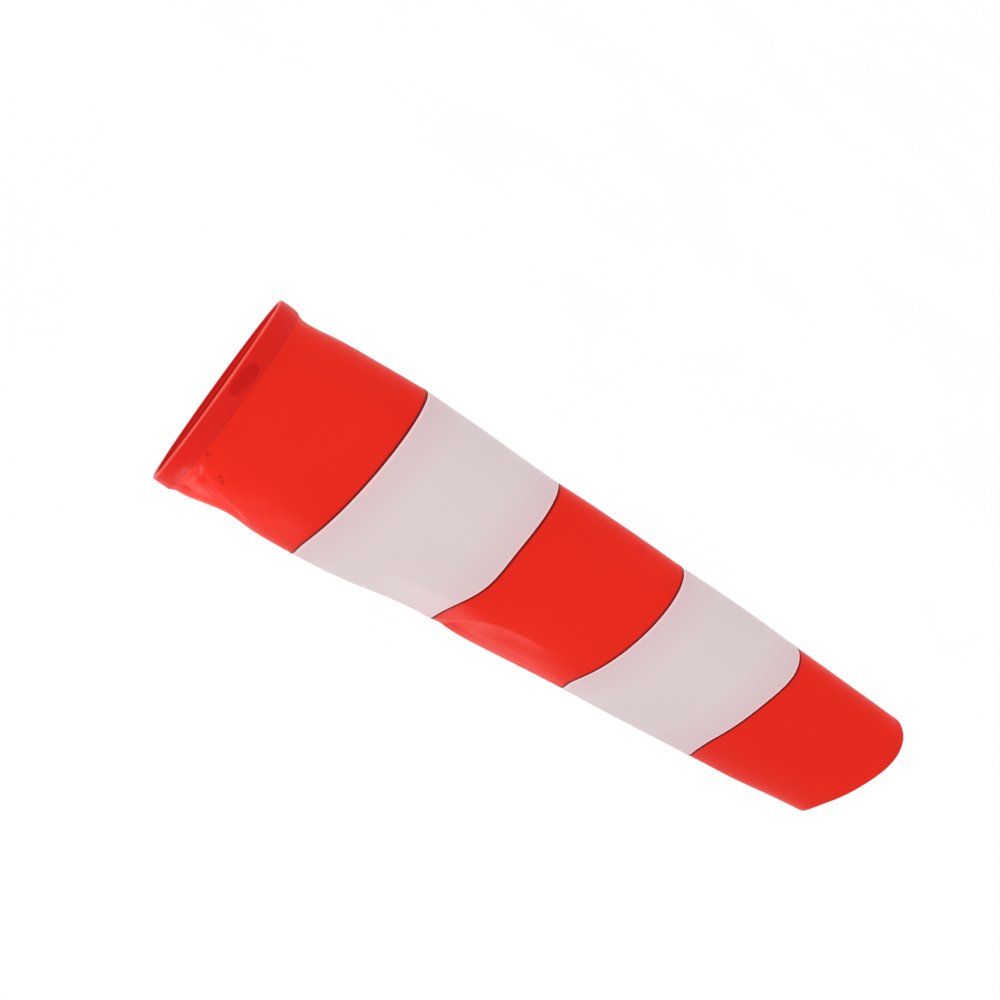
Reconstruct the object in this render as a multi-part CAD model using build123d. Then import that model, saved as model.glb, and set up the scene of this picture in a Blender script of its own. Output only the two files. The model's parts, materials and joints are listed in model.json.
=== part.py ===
from build123d import *
import math
import os

# Windsock sleeve with a wire hoop at its mouth. Millimetres. The origin is the hoop's centre,
# +X runs along the sleeve to its open tail and +Z is up.

# Driving dimensions
MOUTH_DIAMETER = 300.0      # over the cloth bead on the hoop
NECK_RADIUS = 143.0         # outside of the sleeve, from the hem to the first seam
TAIL_RADIUS = 98.0          # outside of the sleeve at the open tail
BAND_COUNT = 5
FIRST_SEAM = 218.0          # from the hoop to the first seam along the axis
BAND_LENGTH = 222.0         # from seam to seam
HOOP_LEAN = 5.3             # degrees: the top of the hoop leans towards the tail
HOOP_YAW = 0.4              # degrees: its far side, +Y, leans towards the tail as well

# Wire hoop and its ferrule
WIRE_RADIUS = 1.75
WIRE_GAP = 1.0              # between the two wire ends, inside the ferrule
FERRULE_BORE = 1.85
FERRULE_RADIUS = 2.3
FERRULE_LENGTH = 22.0

# Cloth
CLOTH = 0.8                 # one coated ply with its stiffening folds
HEM_PLY = 1.2               # two plies sewn together
POCKET_RADIUS = 2.5         # room for the wire inside the bead
BEAD_RADIUS = POCKET_RADIUS + CLOTH
HEM_LENGTH = 27.0           # from the hoop's plane to the hem's rear edge
HEM_FLARE_LENGTH = 22.0     # where the pocket ends and the two plies are sewn together
HEM_FRONT = -0.5            # front edge of the hem's inner ply, under the bead
TAIL_HEM_LENGTH = 12.0
TAIL_HEM_PLY = 1.6

# Joints between the bands
SEAM_GAP = 8.0              # clear length between two bands, so that the next one can tip
PIVOT_OFFSET = 50.0         # from a seam to the axis that the next band droops about

# Tapes and threads
LAP = 0.15                  # clearance between a tape and the band that it is sewn to
TAPE = 0.8
BINDING_WIDTH = 16.0
BINDING_OFFSET = 1.0        # from a band's front edge to its binding
SIDE_SEAM_WIDTH = 12.0
THREAD = 0.4
THREAD_WIDTH = 0.8
THREAD_INSET = 3.0          # from an edge to its row of stitches

HOOP_RADIUS = MOUTH_DIAMETER / 2 - BEAD_RADIUS
HEM_BORE = NECK_RADIUS - HEM_PLY
SEAMS = [FIRST_SEAM + k * BAND_LENGTH for k in range(BAND_COUNT - 1)]
TOTAL_LENGTH = SEAMS[-1] + BAND_LENGTH
PIVOTS = [HEM_LENGTH + PIVOT_OFFSET] + [seam + PIVOT_OFFSET for seam in SEAMS]
LEAN = Rot(0, HOOP_LEAN, -HOOP_YAW)
# The leaning hem's rear edge is centred a little off the hoop's centre, and the sleeve follows it
HEM_REAR = (LEAN * Pos(HEM_LENGTH, 0, 0)).position
SLEEVE = Pos(0, HEM_REAR.Y, HEM_REAR.Z)


def sleeve_radius(x):
    """Outside radius of the sleeve: straight to the first seam, then an even taper to the tail."""
    along = max(0.0, (x - FIRST_SEAM) / (TOTAL_LENGTH - FIRST_SEAM))
    return NECK_RADIUS + (TAIL_RADIUS - NECK_RADIUS) * along


def turned(points, angle=360.0):
    """Solid made by turning an outline of (x, radius) points about the X axis from +Z."""
    outline = Polyline([(x, 0, r) for x, r in points], close=True)
    return revolve(make_face(outline.edges()), Axis.X, angle)


def shell(front, rear, depth, thickness, angle=360.0):
    """Ring of cloth from front to rear, its outer face `depth` under the sleeve's outside."""
    outer = [(x, sleeve_radius(x) - depth) for x in (front, rear)]
    inner = [(x, r - thickness) for x, r in reversed(outer)]
    return turned(outer + inner, angle)


def hoop_section(radius):
    """Disc across the hoop's wire, at the top of the hoop."""
    return Plane.XZ * Pos(0, HOOP_RADIUS) * Circle(radius)


def to_far_side(angle):
    """Turn that brings the middle of a solid turned through this angle from +Z round to +Y."""
    return Rot(-90.0 - angle / 2, 0, 0)


def hoop_arc(section, length):
    """Part of the hoop of this length along the wire, centred on +Y."""
    angle = math.degrees(length / HOOP_RADIUS)
    return to_far_side(angle) * revolve(section, Axis.X, angle)


def hoop_wire():
    """Open ring of wire, its ends facing each other at +Y."""
    whole = 2 * math.pi * HOOP_RADIUS
    return Rot(180, 0, 0) * hoop_arc(hoop_section(WIRE_RADIUS), whole - WIRE_GAP)


def hoop_ferrule():
    """Tube over the two ends of the wire."""
    return hoop_arc(hoop_section(FERRULE_RADIUS) - hoop_section(FERRULE_BORE), FERRULE_LENGTH)


def mouth_hem():
    """Folded hem: a bead around the wire, and two plies that taper together behind it."""
    skirt = turned([
        (HEM_FRONT, HEM_BORE),
        (HEM_LENGTH, HEM_BORE),
        (HEM_LENGTH, NECK_RADIUS),
        (HEM_FLARE_LENGTH, NECK_RADIUS + HEM_PLY),
        (BEAD_RADIUS * 0.8, HOOP_RADIUS + BEAD_RADIUS * 0.6),
        (HEM_FRONT, HOOP_RADIUS + BEAD_RADIUS * 0.6),
    ])
    between_plies = turned([
        (0, HOOP_RADIUS - POCKET_RADIUS * 0.9),
        (POCKET_RADIUS, HEM_BORE + CLOTH),
        (HEM_FLARE_LENGTH - CLOTH, HEM_BORE + CLOTH),
        (POCKET_RADIUS * 0.8, HOOP_RADIUS + BEAD_RADIUS * 0.6 - CLOTH),
    ])
    bead = revolve(hoop_section(BEAD_RADIUS), Axis.X, 360)
    pocket = revolve(hoop_section(POCKET_RADIUS), Axis.X, 360)
    return skirt + bead - pocket - between_plies


def band_front(k):
    """X of the front edge of band k, counted from 1."""
    return HEM_LENGTH + SEAM_GAP if k == 1 else SEAMS[k - 2] + SEAM_GAP


def band_rear(k):
    """X of the rear edge of band k: its seam, or the front of the tail's hem."""
    return SEAMS[k - 1] if k < BAND_COUNT else TOTAL_LENGTH - TAIL_HEM_LENGTH


def band(k):
    if k > 1:
        return shell(band_front(k), band_rear(k), 0, CLOTH)
    # the first band's front edge leans with the hoop, so its gap to the hem is even all round
    reach = NECK_RADIUS * math.tan(math.radians(HOOP_LEAN)) + SEAM_GAP
    tube = shell(band_front(k) - reach, band_rear(k), 0, CLOTH)
    waste = Box(MOUTH_DIAMETER, 2 * MOUTH_DIAMETER, 2 * MOUTH_DIAMETER)
    return tube - Pos(band_front(k), 0, 0) * LEAN * Pos(-MOUTH_DIAMETER / 2, 0, 0) * waste


def seam_binding(k):
    """Tape inside the front edge of band k + 1, over the raw edges of seam k."""
    front = SEAMS[k - 1] + SEAM_GAP + BINDING_OFFSET
    return shell(front, front + BINDING_WIDTH, CLOTH + LAP, TAPE)


def side_seam(k):
    """Lapped seam that closes band k into a tube, inside it along +Y."""
    lean_room = 2 * SEAM_GAP if k == 1 else 0
    front = band_front(k) + 2 * BINDING_OFFSET + BINDING_WIDTH + lean_room
    rear = band_rear(k) - BINDING_OFFSET
    angle = math.degrees(SIDE_SEAM_WIDTH / sleeve_radius(front))
    return to_far_side(angle) * shell(front, rear, CLOTH + LAP, TAPE, angle)


def tail_hem():
    return shell(TOTAL_LENGTH - TAIL_HEM_LENGTH, TOTAL_LENGTH, 0, TAIL_HEM_PLY)


def thread_ring(x, radius):
    """Row of stitches as one ring of thread, lying on a face of this radius."""
    front, rear = x - THREAD_WIDTH / 2, x + THREAD_WIDTH / 2
    low, high = radius + LAP, radius + LAP + THREAD
    return turned([(front, low), (rear, low), (rear, high), (front, high)])


def hem_stitching():
    """Row that closes the hem behind its bead, near the hem's rear edge."""
    x = HEM_LENGTH - THREAD_INSET
    rise = HEM_PLY * (THREAD_INSET + THREAD_WIDTH) / (HEM_LENGTH - HEM_FLARE_LENGTH)
    return thread_ring(x, NECK_RADIUS + rise)


def sleeve_stitching(x):
    return thread_ring(x, sleeve_radius(x - THREAD_WIDTH))


def mouth_parts():
    """Pieces that keep the hoop's lean."""
    yield "hoop_wire", hoop_wire()
    yield "hoop_ferrule", hoop_ferrule()
    yield "mouth_hem", mouth_hem()
    yield "hem_stitching", hem_stitching()


def sleeve_parts():
    """Pieces built around the sleeve's own axis."""
    for k in range(1, BAND_COUNT + 1):
        yield f"band_{k}", band(k)
        yield f"side_seam_{k}", side_seam(k)
    for k in range(1, BAND_COUNT):
        yield f"seam_binding_{k}", seam_binding(k)
        yield f"seam_stitching_{k}", sleeve_stitching(SEAMS[k - 1] - THREAD_INSET)
    yield "tail_hem", tail_hem()
    yield "tail_stitching", sleeve_stitching(TOTAL_LENGTH - TAIL_HEM_LENGTH + THREAD_INSET)


os.makedirs("parts", exist_ok=True)
for place, pieces in ((LEAN, mouth_parts()), (SLEEVE, sleeve_parts())):
    for name, shape in pieces:
        export_step(place * shape, f"parts/{name}.step")
print("droop axes at x =", PIVOTS, "z =", HEM_REAR.Z, "hem's rear edge at", HEM_REAR)
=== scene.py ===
import json
import math

import bpy
import numpy as np
from mathutils import Matrix, Vector


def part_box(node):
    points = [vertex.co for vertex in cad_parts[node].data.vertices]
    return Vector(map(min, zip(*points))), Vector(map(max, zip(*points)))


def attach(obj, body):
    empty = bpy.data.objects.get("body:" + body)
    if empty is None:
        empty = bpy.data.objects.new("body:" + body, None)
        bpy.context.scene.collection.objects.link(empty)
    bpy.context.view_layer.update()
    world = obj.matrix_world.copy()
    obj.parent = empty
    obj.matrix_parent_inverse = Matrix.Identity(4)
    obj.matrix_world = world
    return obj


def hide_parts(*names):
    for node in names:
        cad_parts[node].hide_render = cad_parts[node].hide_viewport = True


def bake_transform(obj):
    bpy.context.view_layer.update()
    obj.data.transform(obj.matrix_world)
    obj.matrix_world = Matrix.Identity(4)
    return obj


# Windsock sleeve in metres, in the CAD frame: the origin is the hoop's centre, +X runs along the
# sleeve to its open tail, +Z is up, and the side seams are on +Y.

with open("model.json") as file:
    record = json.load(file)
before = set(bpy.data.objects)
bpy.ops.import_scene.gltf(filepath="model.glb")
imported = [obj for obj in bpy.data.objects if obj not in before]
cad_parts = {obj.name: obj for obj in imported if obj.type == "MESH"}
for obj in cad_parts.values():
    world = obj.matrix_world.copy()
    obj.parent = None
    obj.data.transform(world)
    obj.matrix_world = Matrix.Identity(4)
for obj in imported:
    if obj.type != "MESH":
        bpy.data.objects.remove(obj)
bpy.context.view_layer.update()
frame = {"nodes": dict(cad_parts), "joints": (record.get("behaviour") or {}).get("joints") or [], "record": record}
MM = 0.001
TURN = 2 * math.pi

# Sizes read from the frame
HINGES = {joint["child"]: Vector(joint["pos_m"]) for joint in frame["joints"]}
BANDS = len(HINGES)
SLEEVE_AXIS = sum(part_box("band_2"), Vector()) / 2       # its Y and Z are those of the sleeve's axis
SEAM_X = [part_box(f"band_{k}")[1].x for k in range(1, BANDS)]
TAIL_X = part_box("tail_hem")[1].x
LAST_BAND = f"band_{BANDS}"
TAIL_HEM = TAIL_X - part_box(LAST_BAND)[1].x
WIRE_RADIUS = 1.75 * MM                                 # the leaning hoop's box doesn't give it
WIRE_LOW, WIRE_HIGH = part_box("hoop_wire")
HOOP_RADIUS = (WIRE_HIGH.y - WIRE_LOW.y) / 2 - WIRE_RADIUS
OUT_OF_MOUTH = Vector(frame["record"]["mounts"][0]["axis"])
HOOP_LEAN = math.degrees(math.atan2(OUT_OF_MOUTH.z, -OUT_OF_MOUTH.x))
HOOP_YAW = math.degrees(math.atan2(OUT_OF_MOUTH.y, -OUT_OF_MOUTH.x))
HEM_LENGTH = HINGES["band_1"].x - (HINGES["band_2"].x - SEAM_X[0])


def widest(node):
    """Half the height of a CAD node, which for a band is the radius at its front edge."""
    low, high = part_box(node)
    return (high.z - low.z) / 2


NECK_RADIUS = widest("band_1")
TAPER_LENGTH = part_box(LAST_BAND)[0].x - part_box("band_2")[0].x
TAPER = (widest("band_2") - widest(LAST_BAND)) / TAPER_LENGTH

# Cloth
PLY = 0.5 * MM                  # one ply of coated cloth
CLEARANCE = 0.15 * MM           # between two plies that are sewn together
COLUMNS = 288                   # points around the sleeve
HEM_COLUMNS = 360               # points around the mouth's hem
BAND_ROWS = 100                 # points along a band, a side lap and a tape
LAP_ROWS = 60
TAPE_ROWS = 12
FOLD = 0.8 * MM                 # how much of the tail's fold shows beyond the last band
BEAD_REACH = 5 * MM             # from the hoop to the rear of the bead around its wire
LAP = 6 * MM                    # how far the next band is tucked under a seam
TUCK = 0.7 * MM                 # how deep it lies there
TUCK_STEP = 2.4 * MM            # length over which it comes out from there
POCKET = 2.7 * MM               # middle of the ply around the wire
TAPE_WIDTH = 16 * MM
TAPE_LEAD = 2 * MM              # how far the tape reaches past the raw edge in front of it
SIDE_LAP = 12 * MM              # width of the lap at a side seam
SIDE_START = 14 * MM            # from a seam to the front of the lap, behind the tape
SIDE_ROWS = 0.7                 # place of its rows of stitches, as a share of half its width
SIDE_ROWS_LEAD = 10 * MM        # how far they start in front of the lap
NO_SEAMS = (-1.0, TAIL_X + 1.0)         # front and rear seams that are out of reach
STITCH_PITCH = 4.0 * MM
STITCH_LENGTH = 3.0 * MM
STITCH_INSET = 3.0 * MM         # from an edge to its row of stitches
STITCH_CROWN = 0.30 * MM        # how far the middle of a stitch stands out
STITCH_SINK = 0.05 * MM         # how deep its ends lie in the cloth
STITCH_STEPS = np.linspace(-0.5, 0.5, 7)
THREAD_RADIUS = 0.28 * MM
THREAD_SIDES = 6

# How the air and its own weight shape the cloth, at the hoop, the four seams and the tail
STATIONS = [0.0] + SEAM_X + [TAIL_X]
SLACK = [0.0, 0.0, -2.0 * MM, 0.0, 0.5 * MM, -3.5 * MM]      # mean radius against the cut
FLATNESS = [1.0, 0.815, 0.785, 0.78, 0.785, 0.80]            # width of a section over its height
LEAN_UP = [HOOP_LEAN, 9.0, 9.8, 12.0, 11.3, 8.9]             # degrees: top of a section to the tail
LEAN_FAR = [HOOP_YAW, 1.7, 4.6, 6.0, 13.0, 15.0]             # degrees: far side of it to the tail

# Camera
LENS_PIXELS = 1300.0
IMAGE_SIDE = 1000.0
CAMERA_AZIMUTH = -14.8
CAMERA_ELEVATION = 35.0
CAMERA_ROLL = 39.8
CAMERA_DISTANCE = 1.879
CAMERA_AIM_X = 0.4616
CAMERA_RISE = 0.082
SENSOR_WIDTH = 36.0             # millimetres


# ---------------------------------------------------------------- the sleeve's surface

def along(values, s):
    return np.interp(s, STATIONS, values)


def bump(x, width):
    return np.exp(-(x / width) ** 2)


def mean_radius(s):
    """Radius of the sleeve's outer face: flared into the hem, drawn in just behind it, then as cut."""
    cut = NECK_RADIUS - TAPER * np.maximum(0.0, s - SEAM_X[0])
    flare = 4.5 * MM / (1 + np.exp((s - HEM_LENGTH - 3 * MM) / (2.5 * MM)))
    drawn_in = 2.6 * MM * bump(s - 50 * MM, 30 * MM)
    return cut + along(SLACK, s) + flare - drawn_in


def section(s):
    """Half width and half height of the section at s."""
    flatness = along(FLATNESS, s)
    height = mean_radius(s) * np.sqrt(2 / (1 + flatness ** 2))
    return flatness * height, height


def waves(s, a, seed, count, around, lengthwise):
    """Sum of smooth waves: `around` whole waves a turn at most, `lengthwise` waves a metre at most."""
    rng = np.random.default_rng(seed)
    total = np.zeros(np.broadcast(s, a).shape)
    for _ in range(count):
        turns = rng.integers(1, around + 1)
        rate = rng.uniform(-lengthwise, lengthwise)
        phase = rng.uniform(0, TURN)
        total = total + np.sin(turns * a + TURN * rate * s + phase)
    return total / math.sqrt(count)


def angle_from(a, degrees):
    """Angle from the line at `degrees` to a, between half a turn each way."""
    return np.mod(a - math.radians(degrees) + math.pi, TURN) - math.pi


def swell(s, a, place, reach, height):
    """Smooth rise around place = (s, degrees), fading over reach = (metres, degrees). A third number
    in reach is for the angles beyond the place, where the rise fades more slowly."""
    off = angle_from(a, place[1])
    across = off / np.radians(np.where(off > 0, reach[-1], reach[1]))
    return height * bump(s - place[0], reach[0]) * bump(across, 1.0)


def ridge(s, a, start, end, width, height):
    """Soft fold along the line from start to end, each an (s, degrees) place on the sleeve."""
    p = np.stack(np.broadcast_arrays(s - start[0], angle_from(a, start[1]) * NECK_RADIUS), -1)
    line = np.array([end[0] - start[0], math.radians(end[1] - start[1]) * NECK_RADIUS])
    length = np.linalg.norm(line)
    line = line / length
    t = p @ line
    off = p @ np.array([-line[1], line[0]])
    ends = 1 / (1 + np.exp(-t / width)) / (1 + np.exp((t - length) / width))
    return height * bump(off, width) * ends


def smooth_step(x):
    x = np.clip(x, 0, 1)
    return x * x * (3 - 2 * x)


CREST_ROUNDING = 1.2 * MM
CREST_STEPS = [step * MM for step in (-12, -6, 0, 6, 12)]       # the crest's line is a mean over these


def pinch(s, a, crest, depth, edge, reach, fade):
    """Hollow below a crest of (s, degrees) points: it falls away from the crest as a flat facet,
    then rises again over reach. It fades in and out over the two lengths in fade."""
    places, degrees = zip(*crest)
    line = sum(np.interp(s + step, places, degrees) for step in CREST_STEPS) / len(CREST_STEPS)
    below = (np.mod(a, TURN) - np.radians(line)) * NECK_RADIUS
    down = np.logaddexp(0, below / CREST_ROUNDING) * CREST_ROUNDING
    drop = (1 - np.exp(-down / edge)) * np.where(below > 0, bump(below, reach), 1.0)
    ends = smooth_step((s - places[0]) / fade[0]) * smooth_step((places[-1] - s) / fade[1])
    return -depth * drop * ends


def seam_distance(s):
    return np.min([np.abs(s - x) for x in SEAM_X], axis=0)


def relief(s, a):
    """How far the cloth stands off its smooth section: billow, puckers at the seams, folds.
    The wire holds the hem's bead true, so there is none of it there."""
    from_seam = seam_distance(s)
    billow = 1.2 * MM * (1 - bump(from_seam, 50 * MM)) * np.clip(s / (100 * MM), 0, 1)
    swells = 0.7 * MM * waves(s, a, 3, 9, 5, 4.0) * np.clip(s / (120 * MM), 0, 1)
    puckers = 0.12 * MM * waves(s, a, 5, 12, 90, 3.0) * bump(from_seam, 12 * MM)
    gathers = 0.22 * MM * waves(s, a, 7, 12, 70, 6.0) * bump(s - HEM_LENGTH, 16 * MM)
    total = billow + swells + puckers + gathers + slack_cloth(s, a) + folds(s, a) + edge_crease(s, a)
    return total * smooth_step((s - BEAD_REACH) / (HEM_LENGTH - BEAD_REACH))


# The cloth turns more sharply along its lower side. Angles in degrees, and (s, height) of the crease
CREASE_ANGLE = 232
CREASE_HALF = 34
CREASE_SOFTNESS = 5
CREASE_REACH = 60
CREASE_HEIGHTS = [
    (0.0, 0.0),
    (SEAM_X[0] - 118 * MM, 7.0 * MM),
    (SEAM_X[0] - 18 * MM, 10.0 * MM),
    (SEAM_X[1] - 20 * MM, 9.0 * MM),
    (SEAM_X[2] - 22 * MM, 8.0 * MM),
    (SEAM_X[3] - 24 * MM, 7.0 * MM),
    (TAIL_X, 3.0 * MM),
]


def edge_crease(s, a):
    """Soft edge along the lower side, where the sleeve lies flatter than round."""
    places, heights = zip(*CREASE_HEIGHTS)
    off = np.abs(np.degrees(angle_from(a, CREASE_ANGLE)))
    tent = np.logaddexp(0, (CREASE_HALF - off) / CREASE_SOFTNESS) * CREASE_SOFTNESS / CREASE_HALF
    return np.interp(s, places, heights) * (tent - bump(off, CREASE_REACH))


# Where the wind doesn't quite fill the cloth: (s, degrees), (reach along, in degrees), height
SLACK_PLACES = [
    ((HEM_LENGTH + 19 * MM, 234), (24 * MM, 40), 5.0 * MM),
    ((SEAM_X[0] - 112 * MM, 236), (28 * MM, 32), -5.0 * MM),
    ((SEAM_X[0] - 80 * MM, 236), (28 * MM, 32), -2.8 * MM),
    ((SEAM_X[0] - 18 * MM, 236), (50 * MM, 38), -1.5 * MM),
    ((SEAM_X[1] - 40 * MM, 234), (75 * MM, 45), -6.5 * MM),
    ((SEAM_X[2] - 52 * MM, 234), (200 * MM, 45), -5.0 * MM),
    ((TAIL_X - 116 * MM, 234), (50 * MM, 40), 1.5 * MM),
    ((SEAM_X[1] + 110 * MM, 54), (450 * MM, 38), 1.6 * MM),
    ((SEAM_X[0] - 18 * MM, 54), (50 * MM, 35), 1.0 * MM),
    ((SEAM_X[1] + 30 * MM, 54), (50 * MM, 35), 1.0 * MM),
]


def slack_cloth(s, a):
    return sum(swell(s, a, *place) for place in SLACK_PLACES)


# Crests of the two larger folds, from front to rear, as (s, degrees)
MOUTH_CREST = [
    (HEM_LENGTH + 2 * MM, 181),
    (HEM_LENGTH + 28 * MM, 191),
    (HEM_LENGTH + 58 * MM, 201),
    (HEM_LENGTH + 123 * MM, 219),
]
SEAM_CREST = [
    (SEAM_X[1] - 4 * MM, 232),
    (SEAM_X[1] + 26 * MM, 206),
    (SEAM_X[1] + 53 * MM, 194),
    (SEAM_X[1] + 86 * MM, 188),
    (SEAM_X[1] + 196 * MM, 186),
]

# Small ridges and dents behind the mouth: start and end as (s, degrees), width, height
WRINKLES = [
    ((HEM_LENGTH + 15 * MM, 197), (HEM_LENGTH + 51 * MM, 207), 4.0 * MM, 1.2 * MM),
    ((HEM_LENGTH + 7 * MM, 204), (HEM_LENGTH + 33 * MM, 214), 4.0 * MM, 1.0 * MM),
    ((HEM_LENGTH - 3 * MM, 136), (HEM_LENGTH + 1 * MM, 152), 2.5 * MM, -1.2 * MM),
    ((HEM_LENGTH + 29 * MM, 160), (HEM_LENGTH + 35 * MM, 162), 2.5 * MM, -0.8 * MM),
    ((HEM_LENGTH + 47 * MM, 176), (HEM_LENGTH + 56 * MM, 180), 2.5 * MM, -0.8 * MM),
]


def folds(s, a):
    """A pinched corner behind the hem, one behind the second seam, and small wrinkles."""
    behind_mouth = pinch(s, a, MOUTH_CREST, 9.0 * MM, 14 * MM, 34 * MM, (16 * MM, 50 * MM))
    behind_seam = pinch(s, a, SEAM_CREST, 5.0 * MM, 18 * MM, 60 * MM, (30 * MM, 100 * MM))
    return behind_mouth + behind_seam + sum(ridge(s, a, *wrinkle) for wrinkle in WRINKLES)


# How far the cloth is pulled towards the tail: (s, degrees), (reach along, in degrees), distance
PULLS = [
    ((SEAM_X[0], 233), (40 * MM, 18, 40), 7.0 * MM),
    ((SEAM_X[1], 233), (40 * MM, 16, 40), 6.0 * MM),
    ((SEAM_X[2], 233), (45 * MM, 18, 50), 14.0 * MM),
    ((SEAM_X[3], 231), (50 * MM, 20, 60), 22.0 * MM),
    ((SEAM_X[1], 56), (35 * MM, 16), 4.0 * MM),
    ((SEAM_X[1], 167), (35 * MM, 20), 6.5 * MM),
    ((SEAM_X[3], 112), (40 * MM, 24), 5.0 * MM),
    ((SEAM_X[3], 204), (30 * MM, 14), 4.0 * MM),
    ((TAIL_X, 124), (60 * MM, 32), 8.0 * MM),
    ((TAIL_X, 72), (40 * MM, 18), -5.0 * MM),
    ((TAIL_X, 196), (40 * MM, 20), -4.0 * MM),
    ((TAIL_X, 232), (35 * MM, 14), 4.0 * MM),
]


def pull(s, a):
    return sum(swell(s, a, *place) for place in PULLS)


def centre(s):
    """Y and Z of the sleeve's middle, which leaves the hoop's centre along the leaning hem."""
    share = np.clip(s / HEM_LENGTH, 0, 1)
    return SLEEVE_AXIS.y * share, SLEEVE_AXIS.z * share


def surface(s, a, lift=0.0):
    """Points of the sleeve at distance s from the hoop and angle a from the far side, lifted out."""
    s, a = np.broadcast_arrays(np.asarray(s, float), np.asarray(a, float))
    width, height = section(s)
    ny, nz = np.cos(a) / width, np.sin(a) / height
    size = np.hypot(ny, nz)
    out = lift + relief(s, a)
    y = width * np.cos(a) + out * ny / size
    z = height * np.sin(a) + out * nz / size
    lean_up = np.tan(np.radians(along(LEAN_UP, s)))
    lean_far = np.tan(np.radians(along(LEAN_FAR, s)))
    x = s + lean_up * z + lean_far * y + pull(s, a)
    middle_y, middle_z = centre(s)
    return np.stack([x, y + middle_y, z + middle_z], -1)


# ---------------------------------------------------------------- mesh helpers

def make_piece(name, points, faces, maps=None):
    """Smooth mesh object; maps are UV maps, each an array with a row for each point."""
    mesh = bpy.data.meshes.new(name)
    mesh.from_pydata([tuple(p) for p in points], [], faces)
    index = np.zeros(len(mesh.loops), np.int32)
    mesh.loops.foreach_get("vertex_index", index)
    for label, values in (maps or {}).items():
        layer = mesh.uv_layers.new(name=label)
        layer.data.foreach_set("uv", np.asarray(values)[index].astype(np.float32).ravel())
    mesh.polygons.foreach_set("use_smooth", [True] * len(mesh.polygons))
    mesh.validate()
    piece = bpy.data.objects.new(name, mesh)
    bpy.context.scene.collection.objects.link(piece)
    return piece


def grid_faces(rows, columns, first, wrap=True, flip=False):
    """Faces between rows of points; the first of these points has the number `first`."""
    faces = []
    for i in range(rows - 1):
        for j in range(columns if wrap else columns - 1):
            k = (j + 1) % columns
            face = (first + i * columns + j, first + i * columns + k,
                    first + (i + 1) * columns + k, first + (i + 1) * columns + j)
            faces.append(face[::-1] if flip else face)
    return faces


def edge_faces(row, columns, count, wrap=True, flip=False):
    """Faces through the cloth along one row; count is the number of points on each side of it."""
    faces = []
    for j in range(columns if wrap else columns - 1):
        k = (j + 1) % columns
        face = (row * columns + j, row * columns + k, count + row * columns + k,
                count + row * columns + j)
        faces.append(face[::-1] if flip else face)
    return faces


def strip_piece(name, s, a, lift, closed, seams=None):
    """One ply between two layers of points: s down the rows, a across, lift for each row.
    seams is the s of the visible seam at its front and at its rear."""
    s = np.asarray(s)[:, None]
    lift = np.broadcast_to(np.asarray(lift, float), (len(s),))[:, None]
    rows, columns = len(s), len(a)
    a = np.asarray(a)[None, :]
    outer = surface(s, a, lift)
    inner = surface(s, a, lift - PLY)
    points = np.concatenate([outer.reshape(-1, 3), inner.reshape(-1, 3)])
    count = rows * columns
    faces = grid_faces(rows, columns, 0, closed)
    faces += grid_faces(rows, columns, count, closed, flip=True)
    faces += edge_faces(0, columns, count, closed, flip=True)
    faces += edge_faces(rows - 1, columns, count, closed)
    if not closed:
        for j in (0, columns - 1):
            for i in range(rows - 1):
                edge = (i * columns + j, (i + 1) * columns + j, count + (i + 1) * columns + j,
                        count + i * columns + j)
                faces.append(edge if j == 0 else edge[::-1])
    uv = np.stack(np.broadcast_arrays(a * mean_radius(s), s - s[0]), -1).reshape(-1, 2)
    maps = {"cloth": np.concatenate([uv, uv])}
    if seams is not None:
        from_front, from_rear, _ = np.broadcast_arrays(s - seams[0], seams[1] - s, a)
        to_seams = np.stack([from_front, from_rear], -1).reshape(-1, 2)
        maps["seams"] = np.concatenate([to_seams, to_seams])
    return make_piece(name, points, faces, maps)


def full_turn(columns):
    return np.linspace(0, TURN, columns, endpoint=False)


def stitch_mesh(centres):
    """Points and faces of short threads; centres is (stitches, steps, 3) along each thread."""
    tangents = np.gradient(centres, axis=1)
    tangents /= np.linalg.norm(tangents, axis=2, keepdims=True)
    axis = np.array([0.0, SLEEVE_AXIS.y, SLEEVE_AXIS.z])
    away = centres - axis
    away[..., 0] = 0
    side = np.cross(tangents, away)
    side /= np.linalg.norm(side, axis=2, keepdims=True)
    up = np.cross(side, tangents)
    turn = full_turn(THREAD_SIDES)
    ring = (side[..., None, :] * np.cos(turn)[:, None] + up[..., None, :] * np.sin(turn)[:, None])
    steps = centres.shape[1]
    fullness = np.sin(np.linspace(0.12, math.pi - 0.12, steps)) ** 0.35      # thin at both ends
    points = centres[:, :, None, :] + ring * (THREAD_RADIUS * fullness)[None, :, None, None]
    faces = []
    for n in range(len(centres)):
        first = n * steps * THREAD_SIDES
        faces += grid_faces(steps, THREAD_SIDES, first)
        faces.append(tuple(range(first, first + THREAD_SIDES))[::-1])
        last = first + (steps - 1) * THREAD_SIDES
        faces.append(tuple(range(last, last + THREAD_SIDES)))
    return points.reshape(-1, 3), faces


def stitch_rise():
    """How far a stitch stands off the cloth, at each of its steps."""
    return STITCH_CROWN * np.cos(STITCH_STEPS * math.pi) ** 0.5 - STITCH_SINK


def stitches_around(s, lift=0.0):
    """Middle lines of one row of stitches around the sleeve at s."""
    count = int(TURN * mean_radius(s) / STITCH_PITCH)
    span = STITCH_LENGTH / mean_radius(s)
    a = np.arange(count)[:, None] * TURN / count + STITCH_STEPS * span
    return surface(np.full_like(a, s), a, lift + stitch_rise())


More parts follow.
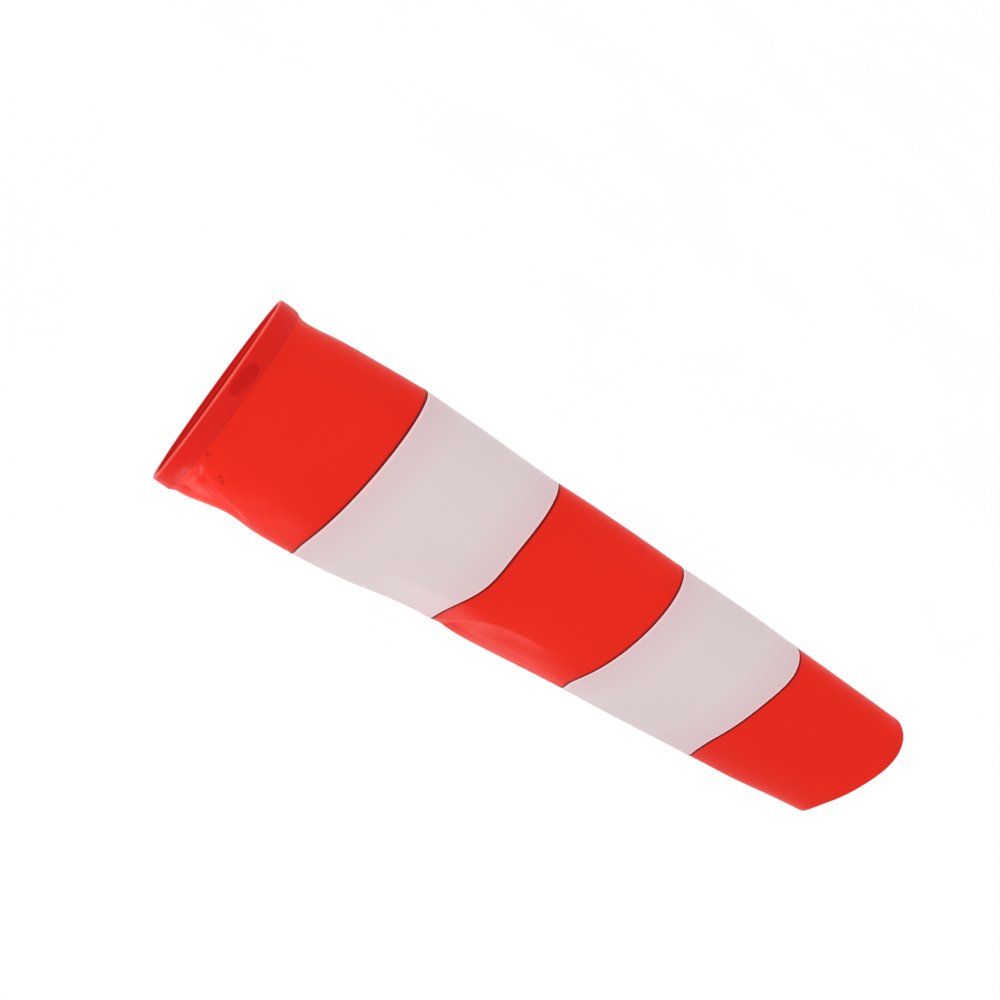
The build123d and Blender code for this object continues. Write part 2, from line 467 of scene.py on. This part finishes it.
def stitches_along(front, rear, a):
    """Middle lines of one row of stitches along the sleeve at angle a."""
    count = int((rear - front) / STITCH_PITCH)
    s = front + (np.arange(count)[:, None] + 0.5) * (rear - front) / count
    s = s + STITCH_STEPS * STITCH_LENGTH
    return surface(s, np.full_like(s, a), stitch_rise())


# ---------------------------------------------------------------- materials

RED_LIGHT = (0.76, 0.024, 0.013)
RED_DARK = (0.70, 0.019, 0.010)
# Dark seam line, with painted shade of the seam's crease
DARK_SEAM_AND_SHADE = (0.17, 0.006, 0.010)
HEM_LIGHT = (0.69, 0.020, 0.015)
HEM_DARK = (0.60, 0.013, 0.010)
# Painted shade for the dents and puckers behind the mouth
SHADED_RED = (0.40, 0.005, 0.006)
# Painted highlight: paler red standing in for light caught on the hem's rim
RIM_HIGHLIGHT_RED = (0.95, 0.13, 0.09)
WHITE_LIGHT = (0.66, 0.575, 0.585)
WHITE_DARK = (0.63, 0.525, 0.535)
PINK = (0.64, 0.42, 0.45)
PALE_PINK = (0.84, 0.58, 0.58)
CLOTH_GLOSS = 0.014
WEAVE_PITCH = 0.9 * MM

# Painted highlight along the hem's rim: how far along its cloth, from its inner edge, and half its width
RIM_ALONG_HEM = 34.0 * MM
RIM_REACH = 3.0 * MM

# Patches of painted shade in dents and puckers on the near side: (s, degrees, radius) on the hem and on the first
# band
SHADE_SHARE = 0.50
HEM_SHADE_SPOTS = [
    (15 * MM, 124, 10 * MM),
    (14 * MM, 127, 12 * MM),
    (13 * MM, 130, 12 * MM),
    (12 * MM, 134, 12 * MM),
    (11 * MM, 138, 9 * MM),
]
HEM_SHADE_LIFT = 2 * MM
BAND_SHADE_SPOTS = [
    (HEM_LENGTH + 6 * MM, 175, 5 * MM),
    (HEM_LENGTH + 38 * MM, 186, 4 * MM),
    (HEM_LENGTH + 45 * MM, 189, 5 * MM),
]


def material(name):
    """New material, its node tree and its shader."""
    made = bpy.data.materials.new(name)
    made.use_nodes = True
    tree = made.node_tree
    return made, tree, tree.nodes["Principled BSDF"]


def feed(tree, socket, value):
    """Sets a socket to a number or a colour, or links it to another node's output."""
    if isinstance(value, tuple):
        socket.default_value = (*value, 1.0)
    elif isinstance(value, (int, float)):
        socket.default_value = value
    else:
        tree.links.new(value, socket)


def math_node(tree, operation, *values, clamp=False):
    node = tree.nodes.new("ShaderNodeMath")
    node.operation = operation
    node.use_clamp = clamp
    for socket, value in zip(node.inputs, values):
        feed(tree, socket, value)
    return node.outputs[0]


def mix_colour(tree, share, a, b):
    """Colour a, with this share of b in it."""
    node = tree.nodes.new("ShaderNodeMix")
    node.data_type = "RGBA"
    for number, value in ((0, share), (6, a), (7, b)):
        feed(tree, node.inputs[number], value)
    return node.outputs[2]


def noise(tree, scale, detail=3.0):
    """Noise of 0 to 1 in the piece's own coordinates, with about `scale` features a metre."""
    node = tree.nodes.new("ShaderNodeTexNoise")
    node.inputs["Scale"].default_value = scale
    node.inputs["Detail"].default_value = detail
    here = tree.nodes.new("ShaderNodeTexCoord").outputs["Object"]
    tree.links.new(here, node.inputs["Vector"])
    return node.outputs["Fac"]


def uv_pair(tree, label):
    """The two coordinates of a UV map, both in metres."""
    uv = tree.nodes.new("ShaderNodeUVMap")
    uv.uv_map = label
    split = tree.nodes.new("ShaderNodeSeparateXYZ")
    tree.links.new(uv.outputs["UV"], split.inputs[0])
    return split.outputs["X"], split.outputs["Y"]


def weave(tree, around, lengthwise, pitch):
    """Plain weave: threads that pass over and under each other every pitch."""
    rate = math.pi / pitch
    u = math_node(tree, "SINE", math_node(tree, "MULTIPLY", around, rate))
    v = math_node(tree, "SINE", math_node(tree, "MULTIPLY", lengthwise, rate))
    return math_node(tree, "MULTIPLY", u, v)


def scaled(tree, value, factor, offset):
    return math_node(tree, "ADD", math_node(tree, "MULTIPLY", value, factor), offset)


def within(tree, distance, reach):
    """1 where distance is 0, falling to 0 at reach."""
    share = math_node(tree, "DIVIDE", math_node(tree, "ABSOLUTE", distance), reach)
    return math_node(tree, "SUBTRACT", 1.0, share, clamp=True)


def painted_shade(tree, colour, shade, shade_spots, lift=0.0):
    """Soft patches of painted shade. Each is an s and an angle in degrees on the sleeve, and a radius."""
    here = tree.nodes.new("ShaderNodeTexCoord").outputs["Object"]
    nearest = 0.0
    for s, degrees, radius in shade_spots:
        distance = tree.nodes.new("ShaderNodeVectorMath")
        distance.operation = "DISTANCE"
        tree.links.new(here, distance.inputs[0])
        distance.inputs[1].default_value = surface(s, math.radians(degrees), lift)
        nearest = math_node(tree, "MAXIMUM", within(tree, distance.outputs["Value"], radius), nearest)
    share = math_node(tree, "MINIMUM", scaled(tree, nearest, 1.3, 0.0), SHADE_SHARE)
    return mix_colour(tree, share, colour, shade)


def raise_surface(tree, shader, height, strength, distance):
    """Fine relief that follows a height."""
    node = tree.nodes.new("ShaderNodeBump")
    node.inputs["Strength"].default_value = strength
    node.inputs["Distance"].default_value = distance
    tree.links.new(height, node.inputs["Height"])
    tree.links.new(node.outputs[0], shader.inputs["Normal"])


def start_cloth(name, light, dark):
    """Coated woven cloth: slow colour drift, weave and satin gloss. Its colour is still to be linked."""
    made, tree, shader = material(name)
    around, lengthwise = uv_pair(tree, "cloth")
    colour = mix_colour(tree, noise(tree, 5.0), dark, light)
    pattern = weave(tree, around, lengthwise, WEAVE_PITCH)
    colour = mix_colour(tree, scaled(tree, pattern, 0.04, 0.04), colour, dark)
    rough = scaled(tree, noise(tree, 18.0), 0.12, 0.23)
    tree.links.new(rough, shader.inputs["Roughness"])
    raise_surface(tree, shader, pattern, 0.12, 0.15 * MM)
    shader.inputs["Specular IOR Level"].default_value = CLOTH_GLOSS
    return made, tree, shader, colour, lengthwise


def band_material(name, light, dark, blush, line, shade_spots=()):
    """Cloth of a band: a blush of colour near its seams, and a thin line right at their edges.
    blush and line are each a colour, a reach and a share; on the red bands the line is a dark seam
    with painted shade of its crease. Any spots passed in are patches of painted shade."""
    made, tree, shader, colour, _ = start_cloth(name, light, dark)
    from_front, from_rear = uv_pair(tree, "seams")
    nearest = math_node(tree, "MINIMUM", math_node(tree, "ABSOLUTE", from_front),
                        math_node(tree, "ABSOLUTE", from_rear))
    for shade, reach, share in (blush, line):
        amount = math_node(tree, "MULTIPLY", within(tree, nearest, reach), share)
        colour = mix_colour(tree, amount, colour, shade)
    # Patches of painted shade in small dents and puckers
    if shade_spots:
        colour = painted_shade(tree, colour, SHADED_RED, shade_spots)
    tree.links.new(colour, shader.inputs["Base Color"])
    return made


def hem_material(name, light, dark, rim_highlight):
    """The bands' cloth twice over, with a painted highlight where it goes round the wire and patches of painted
    shade.
    """
    made, tree, shader, colour, lengthwise = start_cloth(name, light, dark)
    # Painted highlight along the rim around the wire, broken up by noise
    off_rim = math_node(tree, "SUBTRACT", lengthwise, RIM_ALONG_HEM)
    highlight_breakup = scaled(tree, noise(tree, 14.0), 1.6, 0.2)
    highlight_share = math_node(tree, "MULTIPLY", within(tree, off_rim, RIM_REACH), highlight_breakup, clamp=True)
    colour = mix_colour(tree, highlight_share, colour, rim_highlight)
    # Patches of painted shade in the dent behind the bead
    colour = painted_shade(tree, colour, SHADED_RED, HEM_SHADE_SPOTS, HEM_SHADE_LIFT)
    tree.links.new(colour, shader.inputs["Base Color"])
    return made


def tape_material(name, light, dark):
    """Plain woven tape."""
    made, tree, shader, colour, _ = start_cloth(name, light, dark)
    tree.links.new(colour, shader.inputs["Base Color"])
    return made


def thread_material(name, light, dark):
    """Twisted polyester thread."""
    made, tree, shader = material(name)
    twist = noise(tree, 900.0, 2.0)
    tree.links.new(mix_colour(tree, twist, dark, light), shader.inputs["Base Color"])
    raise_surface(tree, shader, twist, 0.3, 0.1 * MM)
    shader.inputs["Roughness"].default_value = 0.6
    return made


def metal_material(name, light, dark, roughness):
    """Drawn metal with fine streaks and a little tarnish."""
    made, tree, shader = material(name)
    tarnish = noise(tree, 60.0)
    tree.links.new(mix_colour(tree, tarnish, dark, light), shader.inputs["Base Color"])
    rough = scaled(tree, noise(tree, 400.0), 0.2, roughness)
    tree.links.new(rough, shader.inputs["Roughness"])
    shader.inputs["Metallic"].default_value = 1.0
    return made


# On the red bands the line at the seam edges is a dark seam with painted shade of its crease
red_cloth = band_material("red_cloth", RED_LIGHT, RED_DARK, (RED_DARK, 50 * MM, 0.5),
                          (DARK_SEAM_AND_SHADE, 4.6 * MM, 2.0), BAND_SHADE_SPOTS)
white_cloth = band_material("white_cloth", WHITE_LIGHT, WHITE_DARK, (PINK, 60 * MM, 0.5),
                            (PALE_PINK, 4.5 * MM, 1.4))
hem_cloth = hem_material("hem_cloth", HEM_LIGHT, HEM_DARK, RIM_HIGHLIGHT_RED)
tape_cloth = tape_material("binding_tape", HEM_LIGHT, HEM_DARK)
red_thread = thread_material("red_thread", (0.70, 0.020, 0.013), (0.58, 0.014, 0.010))
pale_thread = thread_material("pale_thread", (0.80, 0.62, 0.62), (0.70, 0.50, 0.50))
steel = metal_material("zinc_wire", (0.62, 0.63, 0.65), (0.42, 0.43, 0.45), 0.28)
brass = metal_material("crimped_brass", (0.75, 0.58, 0.30), (0.50, 0.37, 0.18), 0.30)


# ---------------------------------------------------------------- pieces

CLOTHS = {"red": (red_cloth, "red_cloth"), "white": (white_cloth, "white_cloth")}
THREADS = {"red": (red_thread, "thread"), "white": (pale_thread, "pale_thread")}


def colour_of(k):
    """The bands are red and white by turns, from a red one at the mouth."""
    return "red" if k % 2 == 1 else "white"


def dress(piece, made, slot, node=None):
    """Gives a piece its material and hides the CAD node that it stands for; slot is not used."""
    piece.data.materials.append(made)
    if node:
        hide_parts(node)


def blend_at_hinge(piece):
    """Bakes a piece's transform into its mesh."""
    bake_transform(piece)


# The hem's inner ply as (share of its length, rise above the bore), the degrees that it goes round
# the wire, and its outer ply as (s, drop under the bead's top)
HEM_BORE = NECK_RADIUS - 0.95 * MM
HEM_ROUND = range(-60, -301, -15)
HEM_INSIDE = [(1.0, 1.6 * MM), (0.8, 1.0 * MM), (0.6, 0.3 * MM), (0.4, 0.0), (0.25, 0.0), (0.15, 0.0)]
HEM_OUTSIDE = [
    (4 * MM, 0.1 * MM),
    (10 * MM, 0.1 * MM),
    (15 * MM, 0.5 * MM),
    (19 * MM, 1.2 * MM),
    (23 * MM, 2.3 * MM),
    (HEM_LENGTH - 1 * MM, 3.6 * MM),
    (HEM_LENGTH, 4.2 * MM),
]
STITCHED_DROP = 2.65 * MM       # drop of the outer ply under its row of stitches


def hem_path():
    """(s, radius) of the middle of the hem's ply: in along the inside, round the wire, back out."""
    path = [(HEM_LENGTH * share, HEM_BORE + rise) for share, rise in HEM_INSIDE]
    for degrees in HEM_ROUND:
        angle = math.radians(degrees)
        path.append((POCKET * math.cos(angle), HOOP_RADIUS + POCKET * math.sin(angle)))
    path += [(s, HOOP_RADIUS + POCKET - drop) for s, drop in HEM_OUTSIDE]
    return np.array(path)


def smooth_path(path, times):
    """Cuts the corners of a path, which keeps its two ends."""
    for _ in range(times):
        cut = np.empty((2 * (len(path) - 1), 2))
        cut[0::2] = path[:-1] * 0.75 + path[1:] * 0.25
        cut[1::2] = path[:-1] * 0.25 + path[1:] * 0.75
        path = np.concatenate([path[:1], cut, path[-1:]])
    return path


def mouth_hem():
    """Folded hem around the wire, open at its rear where the two plies meet."""
    path = smooth_path(hem_path(), 2)
    tangent = np.gradient(path, axis=0)
    tangent /= np.linalg.norm(tangent, axis=1, keepdims=True)
    normal = np.stack([-tangent[:, 1], tangent[:, 0]], 1)
    a = full_turn(HEM_COLUMNS)[None, :]
    layers = []
    for side in (1, -1):
        line = path + normal * side * PLY / 2
        s = line[:, :1]
        layers.append(surface(s, a, line[:, 1:] - mean_radius(s)))
    rows = len(path)
    count = rows * HEM_COLUMNS
    points = np.concatenate([layer.reshape(-1, 3) for layer in layers])
    faces = grid_faces(rows, HEM_COLUMNS, 0, flip=True) + grid_faces(rows, HEM_COLUMNS, count)
    faces += edge_faces(0, HEM_COLUMNS, count) + edge_faces(rows - 1, HEM_COLUMNS, count, flip=True)
    gone = np.concatenate([[0], np.cumsum(np.linalg.norm(np.diff(path, axis=0), axis=1))])
    uv = np.stack(np.broadcast_arrays(a * NECK_RADIUS, gone[:, None]), -1).reshape(-1, 2)
    piece = make_piece("mouth_hem_cloth", points, faces, {"cloth": np.concatenate([uv, uv])})
    dress(piece, hem_cloth, "hem_cloth", "mouth_hem")
    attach(piece, "mouth")


def band(k):
    """Band of cloth, its front edge tucked under the seam or the hem in front of it."""
    front = HEM_LENGTH - LAP if k == 1 else SEAM_X[k - 2] - LAP
    rear = SEAM_X[k - 1] if k < BANDS else TAIL_X - FOLD
    s = np.linspace(front, rear, BAND_ROWS)
    lift = -TUCK * (1 - smooth_step((s - front - LAP + TUCK_STEP / 2) / TUCK_STEP))
    # a band that ends in a hem instead of a seam has no seam within reach there
    seams = (front + LAP if k > 1 else NO_SEAMS[0], rear if k < BANDS else NO_SEAMS[1])
    piece = strip_piece(f"band_{k}_cloth", s, full_turn(COLUMNS), lift, True, seams)
    dress(piece, *CLOTHS[colour_of(k)], f"band_{k}")
    blend_at_hinge(piece)


def side_seam(k):
    """Lapped seam along the far side: the inner lap, and two rows of stitches outside."""
    front = (HEM_LENGTH if k == 1 else SEAM_X[k - 2]) + SIDE_START
    rear = SEAM_X[k - 1] if k < BANDS else TAIL_X - TAIL_HEM
    lap_rear = rear - 1 * MM
    half = SIDE_LAP / 2 / NECK_RADIUS
    across = np.linspace(-half, half, 9)
    piece = strip_piece(f"side_seam_{k}_lap", np.linspace(front, lap_rear, LAP_ROWS), across,
                        -PLY - CLEARANCE, False, NO_SEAMS)
    dress(piece, *CLOTHS[colour_of(k)], f"side_seam_{k}")
    blend_at_hinge(piece)
    rows = [stitches_along(front - SIDE_ROWS_LEAD, rear - STITCH_INSET, side * half * SIDE_ROWS)
            for side in (-1, 1)]
    threads = make_piece(f"side_seam_{k}_stitches", *stitch_mesh(np.concatenate(rows)))
    dress(threads, *THREADS[colour_of(k)])
    blend_at_hinge(threads)


def seam_binding(k):
    """Tape inside seam k, over the raw edges."""
    front = SEAM_X[k - 1] - LAP - TAPE_LEAD
    s = np.linspace(front, front + TAPE_WIDTH, TAPE_ROWS)
    lift = -2 * PLY - 3 * CLEARANCE
    piece = strip_piece(f"seam_binding_{k}_tape", s, full_turn(COLUMNS), lift, True)
    dress(piece, tape_cloth, "binding_tape", f"seam_binding_{k}")
    blend_at_hinge(piece)


def seam_stitches(k):
    """Row of stitches in front of seam k."""
    piece = make_piece(f"seam_{k}_stitches", *stitch_mesh(stitches_around(SEAM_X[k - 1] - STITCH_INSET)))
    dress(piece, *THREADS[colour_of(k)], f"seam_stitching_{k}")
    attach(piece, f"band_{k}")


def hem_stitches():
    """Row of stitches near the mouth hem's rear edge, lying on its outer ply."""
    row = HEM_LENGTH - STITCH_INSET
    outer_face = HOOP_RADIUS + POCKET - STITCHED_DROP + PLY / 2
    centres = stitches_around(row, outer_face - float(mean_radius(row)))
    piece = make_piece("hem_stitches", *stitch_mesh(centres))
    dress(piece, red_thread, "thread", "hem_stitching")
    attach(piece, "mouth")


def tail_hem():
    """Folded edge of the tail: the cloth turned in under itself, so only its fold shows outside."""
    front = TAIL_X - TAIL_HEM
    fold = TAIL_X - FOLD * np.array([0.9, 0.5, 0.2, 0])
    s = np.concatenate([np.linspace(front, TAIL_X - 2 * FOLD, 8), fold])
    lift = -(PLY + 0.1 * MM) * smooth_step((TAIL_X - 0.3 * FOLD - s) / (0.9 * FOLD))
    piece = strip_piece("tail_hem_cloth", s, full_turn(COLUMNS), lift, True, NO_SEAMS)
    dress(piece, red_cloth, "red_cloth", "tail_hem")
    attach(piece, LAST_BAND)
    threads = make_piece("tail_stitches", *stitch_mesh(stitches_around(front + STITCH_INSET)))
    dress(threads, red_thread, "thread", "tail_stitching")
    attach(threads, LAST_BAND)


# ---------------------------------------------------------------- stage

FLOOR_Z = -3.0
FLOOR_HALF = 40.0
WORLD_STRENGTH = 1.06
BELOW = -1.9                # height of the lights under the sleeve

# Name, place, target, diameter, power in watts and spread in degrees of each light
LIGHTS = [
    ("key", (-0.9, -2.2, 0.2), (TAIL_X / 2, 0.0, 0.0), 1.6, 6.0, 180.0),
    ("below_mouth", (0.68, -0.46, BELOW), (HEM_LENGTH + 28 * MM, -0.12, -0.06), 0.24, 0.06, 8.0),
    ("below_middle", (0.95, -0.40, BELOW), (SEAM_X[1] + 60 * MM, -0.09, -0.06), 0.34, 0.04, 8.0),
    ("below_tail", (1.05, 0.25, BELOW), (0.6, 0.0, 0.0), 0.5, 1.5, 180.0),
]


def floor():
    """Wide pale floor, so far below that the sleeve casts no clear shadow on it."""
    mesh = bpy.data.meshes.new("floor")
    corners = [(x, y, FLOOR_Z) for x, y in ((-1, -1), (1, -1), (1, 1), (-1, 1))]
    mesh.from_pydata([(x * FLOOR_HALF, y * FLOOR_HALF, z) for x, y, z in corners], [], [(0, 1, 2, 3)])
    piece = bpy.data.objects.new("floor", mesh)
    bpy.context.scene.collection.objects.link(piece)
    made, tree, shader = material("floor")
    tree.links.new(mix_colour(tree, noise(tree, 0.6), (0.93, 0.93, 0.93), (0.95, 0.95, 0.95)),
                   shader.inputs["Base Color"])
    shader.inputs["Roughness"].default_value = 0.9
    shader.inputs["Specular IOR Level"].default_value = 0.1
    mesh.materials.append(made)


def area_light(name, place, target, size, power, spread):
    """Round light; a spread below 180 degrees is a honeycomb grid on it, which narrows its beam."""
    data = bpy.data.lights.new(name, "AREA")
    data.shape = "DISK"
    data.size = size
    data.energy = power
    data.spread = math.radians(spread)
    light = bpy.data.objects.new(name, data)
    light.visible_camera = False
    bpy.context.scene.collection.objects.link(light)
    light.location = place
    light.rotation_mode = "QUATERNION"
    light.rotation_quaternion = (Vector(target) - Vector(place)).to_track_quat("-Z", "Y")


def lights():
    """White surroundings, a soft key by the mouth on the near side, and three small lights below: two
    with a grid bring out the larger folds, and one is for the lower side towards the tail."""
    world = bpy.data.worlds.new("studio")
    world.use_nodes = True
    background = world.node_tree.nodes["Background"]
    background.inputs["Color"].default_value = (1.0, 1.0, 1.0, 1.0)
    background.inputs["Strength"].default_value = WORLD_STRENGTH
    bpy.context.scene.world = world
    for light in LIGHTS:
        area_light(*light)


def camera():
    """Above the near side, rolled so that the sleeve runs down across the picture to the right."""
    azimuth, elevation, roll = (math.radians(v) for v in
                                (CAMERA_AZIMUTH, CAMERA_ELEVATION, CAMERA_ROLL))
    back = Vector((math.sin(azimuth) * math.cos(elevation),
                   -math.cos(azimuth) * math.cos(elevation), math.sin(elevation)))
    level = (-back).cross(Vector((0, 0, 1))).normalized()
    rise = level.cross(-back)
    right = math.cos(roll) * level + math.sin(roll) * rise
    up = -math.sin(roll) * level + math.cos(roll) * rise
    place = Vector((CAMERA_AIM_X, 0, 0)) + back * CAMERA_DISTANCE + up * CAMERA_RISE
    data = bpy.data.cameras.new("camera")
    data.sensor_width = SENSOR_WIDTH
    data.lens = data.sensor_width * LENS_PIXELS / IMAGE_SIDE
    data.clip_start = 0.05
    data.clip_end = 200.0
    made = bpy.data.objects.new("camera", data)
    bpy.context.scene.collection.objects.link(made)
    turn = Matrix((right, up, back)).transposed().to_4x4()
    made.matrix_world = Matrix.Translation(place) @ turn
    bpy.context.scene.camera = made


# ---------------------------------------------------------------- build

def give_material(node, made):
    slots = frame["nodes"][node].data.materials
    slots.clear()
    slots.append(made)


mouth_hem()
hem_stitches()
for k in range(1, BANDS + 1):
    band(k)
    side_seam(k)
for k in range(1, BANDS):
    seam_binding(k)
    seam_stitches(k)
tail_hem()
give_material("hoop_wire", steel)
give_material("hoop_ferrule", brass)
floor()
lights()
camera()
bpy.context.scene.view_settings.view_transform = "Standard"
